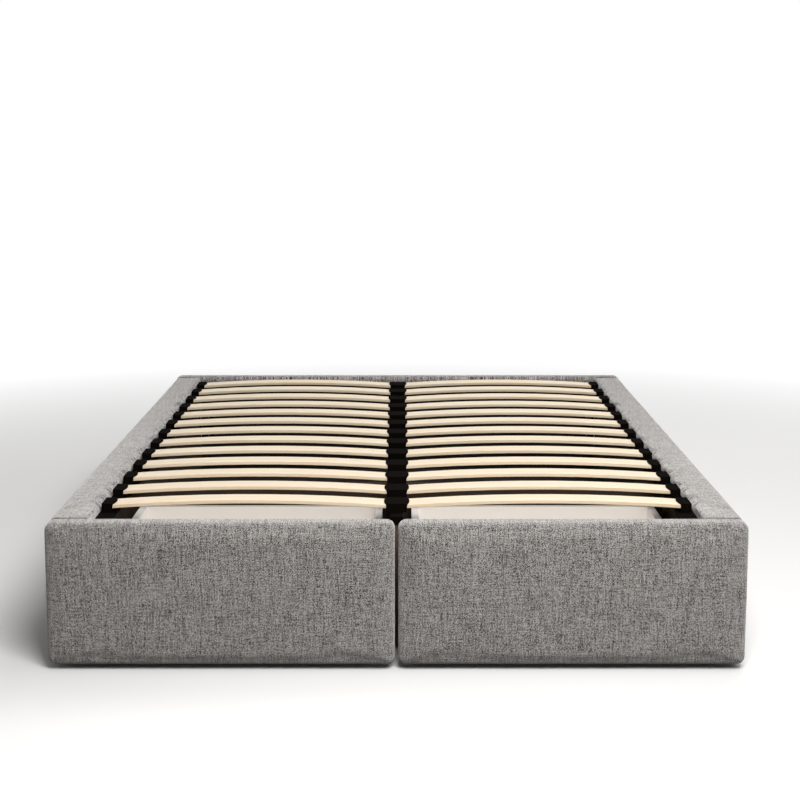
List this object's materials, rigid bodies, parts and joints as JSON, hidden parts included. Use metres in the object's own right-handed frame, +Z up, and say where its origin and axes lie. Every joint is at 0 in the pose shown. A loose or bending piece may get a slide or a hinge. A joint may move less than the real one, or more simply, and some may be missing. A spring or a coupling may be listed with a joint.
{
  "type": "upholstered storage bed",
  "caption": "Low upholstered bed base with sprung wooden slats in moulded holders, padded side rails and head panel, and rolling storage drawers that pull out at the foot.",
  "frame": {"origin": "on the floor, under the middle of the bed's footprint", "axes": "+Z up, +Y from the drawer fronts at the foot to the head panel, +X to the right seen from the foot"},
  "size_m": [1.6, 2.1, 0.3548],
  "materials": {
    "upholstery": "heathered grey woven linen-look cloth over foam",
    "lining_cloth": "black non-woven lining cloth",
    "birch": "bent laminated birch, satin lacquer",
    "white_board": "warm white melamine-faced board, satin",
    "raw_board": "unfinished softwood and board",
    "plywood": "bare plywood",
    "dark_board": "board with a black satin face",
    "black_steel": "black satin powder coat",
    "zinc": "bright zinc plate",
    "black_plastic": "moulded black plastic, satin",
    "wheel_plastic": "moulded dark grey plastic, satin"
  },
  "bodies": {
    "frame": {"head_cover": "upholstery", "head_board": "raw_board", "head_lining": "lining_cloth", "base_lining": "lining_cloth", "centre_slat_holders": "black_plastic", "centre_rail": "black_steel", "centre_rail_end_cap": "black_plastic", "centre_rail_hanger": "black_steel", "centre_divider": "plywood", "centre_legs": "black_steel", "centre_leg_feet": "black_plastic", "cross_rail": "dark_board", "floor_glides": "black_plastic", "frame_brackets": "black_steel", "ledger_screws": "zinc", "bracket_screws": "zinc", "left_rail_cover": "upholstery", "left_rail_inner_board": "dark_board", "left_rail_outer_board": "raw_board", "left_rail_battens": "raw_board", "left_slat_ledger": "black_steel", "left_slats": "birch", "left_slat_holders": "black_plastic", "right_rail_cover": "upholstery", "right_rail_inner_board": "dark_board", "right_rail_outer_board": "raw_board", "right_rail_battens": "raw_board", "right_slat_ledger": "black_steel", "right_slats": "birch", "right_slat_holders": "black_plastic"},
    "left_drawer": {"left_drawer_front_cover": "upholstery", "left_drawer_front_board": "raw_board", "left_drawer_inner_side": "white_board", "left_drawer_outer_side": "white_board", "left_drawer_back": "white_board", "left_drawer_bottom": "white_board", "left_drawer_battens": "raw_board", "left_drawer_brackets": "zinc", "left_drawer_screws": "zinc", "left_castor_forks": "zinc", "left_castor_axles": "zinc"},
    "left_wheel_front_inner": {"left_wheel_front_inner": "wheel_plastic"},
    "left_wheel_front_outer": {"left_wheel_front_outer": "wheel_plastic"},
    "left_wheel_rear_inner": {"left_wheel_rear_inner": "wheel_plastic"},
    "left_wheel_rear_outer": {"left_wheel_rear_outer": "wheel_plastic"},
    "right_drawer": {"right_drawer_front_cover": "upholstery", "right_drawer_front_board": "raw_board", "right_drawer_inner_side": "white_board", "right_drawer_outer_side": "white_board", "right_drawer_back": "white_board", "right_drawer_bottom": "white_board", "right_drawer_battens": "raw_board", "right_drawer_brackets": "zinc", "right_drawer_screws": "zinc", "right_castor_forks": "zinc", "right_castor_axles": "zinc"},
    "right_wheel_front_inner": {"right_wheel_front_inner": "wheel_plastic"},
    "right_wheel_front_outer": {"right_wheel_front_outer": "wheel_plastic"},
    "right_wheel_rear_inner": {"right_wheel_rear_inner": "wheel_plastic"},
    "right_wheel_rear_outer": {"right_wheel_rear_outer": "wheel_plastic"}
  },
  "joints": [
    {"name": "left_drawer_slide", "type": "slide", "parent": "frame", "child": "left_drawer", "axis": [0, -1, 0], "range_m": [0, 0.5]},
    {"name": "right_drawer_slide", "type": "slide", "parent": "frame", "child": "right_drawer", "axis": [0, -1, 0], "range_m": [0, 0.5]},
    {"name": "left_wheel_front_inner_spin", "type": "hinge", "parent": "left_drawer", "child": "left_wheel_front_inner", "pos_m": [-0.106, -0.92, 0.02], "axis": [1, 0, 0], "continuous": true},
    {"name": "left_wheel_front_outer_spin", "type": "hinge", "parent": "left_drawer", "child": "left_wheel_front_outer", "pos_m": [-0.612, -0.92, 0.02], "axis": [1, 0, 0], "continuous": true},
    {"name": "left_wheel_rear_inner_spin", "type": "hinge", "parent": "left_drawer", "child": "left_wheel_rear_inner", "pos_m": [-0.106, -0.534, 0.02], "axis": [1, 0, 0], "continuous": true},
    {"name": "left_wheel_rear_outer_spin", "type": "hinge", "parent": "left_drawer", "child": "left_wheel_rear_outer", "pos_m": [-0.612, -0.534, 0.02], "axis": [1, 0, 0], "continuous": true},
    {"name": "right_wheel_front_inner_spin", "type": "hinge", "parent": "right_drawer", "child": "right_wheel_front_inner", "pos_m": [0.106, -0.92, 0.02], "axis": [1, 0, 0], "continuous": true},
    {"name": "right_wheel_front_outer_spin", "type": "hinge", "parent": "right_drawer", "child": "right_wheel_front_outer", "pos_m": [0.612, -0.92, 0.02], "axis": [1, 0, 0], "continuous": true},
    {"name": "right_wheel_rear_inner_spin", "type": "hinge", "parent": "right_drawer", "child": "right_wheel_rear_inner", "pos_m": [0.106, -0.534, 0.02], "axis": [1, 0, 0], "continuous": true},
    {"name": "right_wheel_rear_outer_spin", "type": "hinge", "parent": "right_drawer", "child": "right_wheel_rear_outer", "pos_m": [0.612, -0.534, 0.02], "axis": [1, 0, 0], "continuous": true}
  ],
  "couplings": [
    {"joint": "left_wheel_front_inner_spin", "follows": "left_drawer_slide", "rad_per_m": 50},
    {"joint": "left_wheel_front_outer_spin", "follows": "left_drawer_slide", "rad_per_m": 50},
    {"joint": "left_wheel_rear_inner_spin", "follows": "left_drawer_slide", "rad_per_m": 50},
    {"joint": "left_wheel_rear_outer_spin", "follows": "left_drawer_slide", "rad_per_m": 50},
    {"joint": "right_wheel_front_inner_spin", "follows": "right_drawer_slide", "rad_per_m": 50},
    {"joint": "right_wheel_front_outer_spin", "follows": "right_drawer_slide", "rad_per_m": 50},
    {"joint": "right_wheel_rear_inner_spin", "follows": "right_drawer_slide", "rad_per_m": 50},
    {"joint": "right_wheel_rear_outer_spin", "follows": "right_drawer_slide", "rad_per_m": 50}
  ]
}
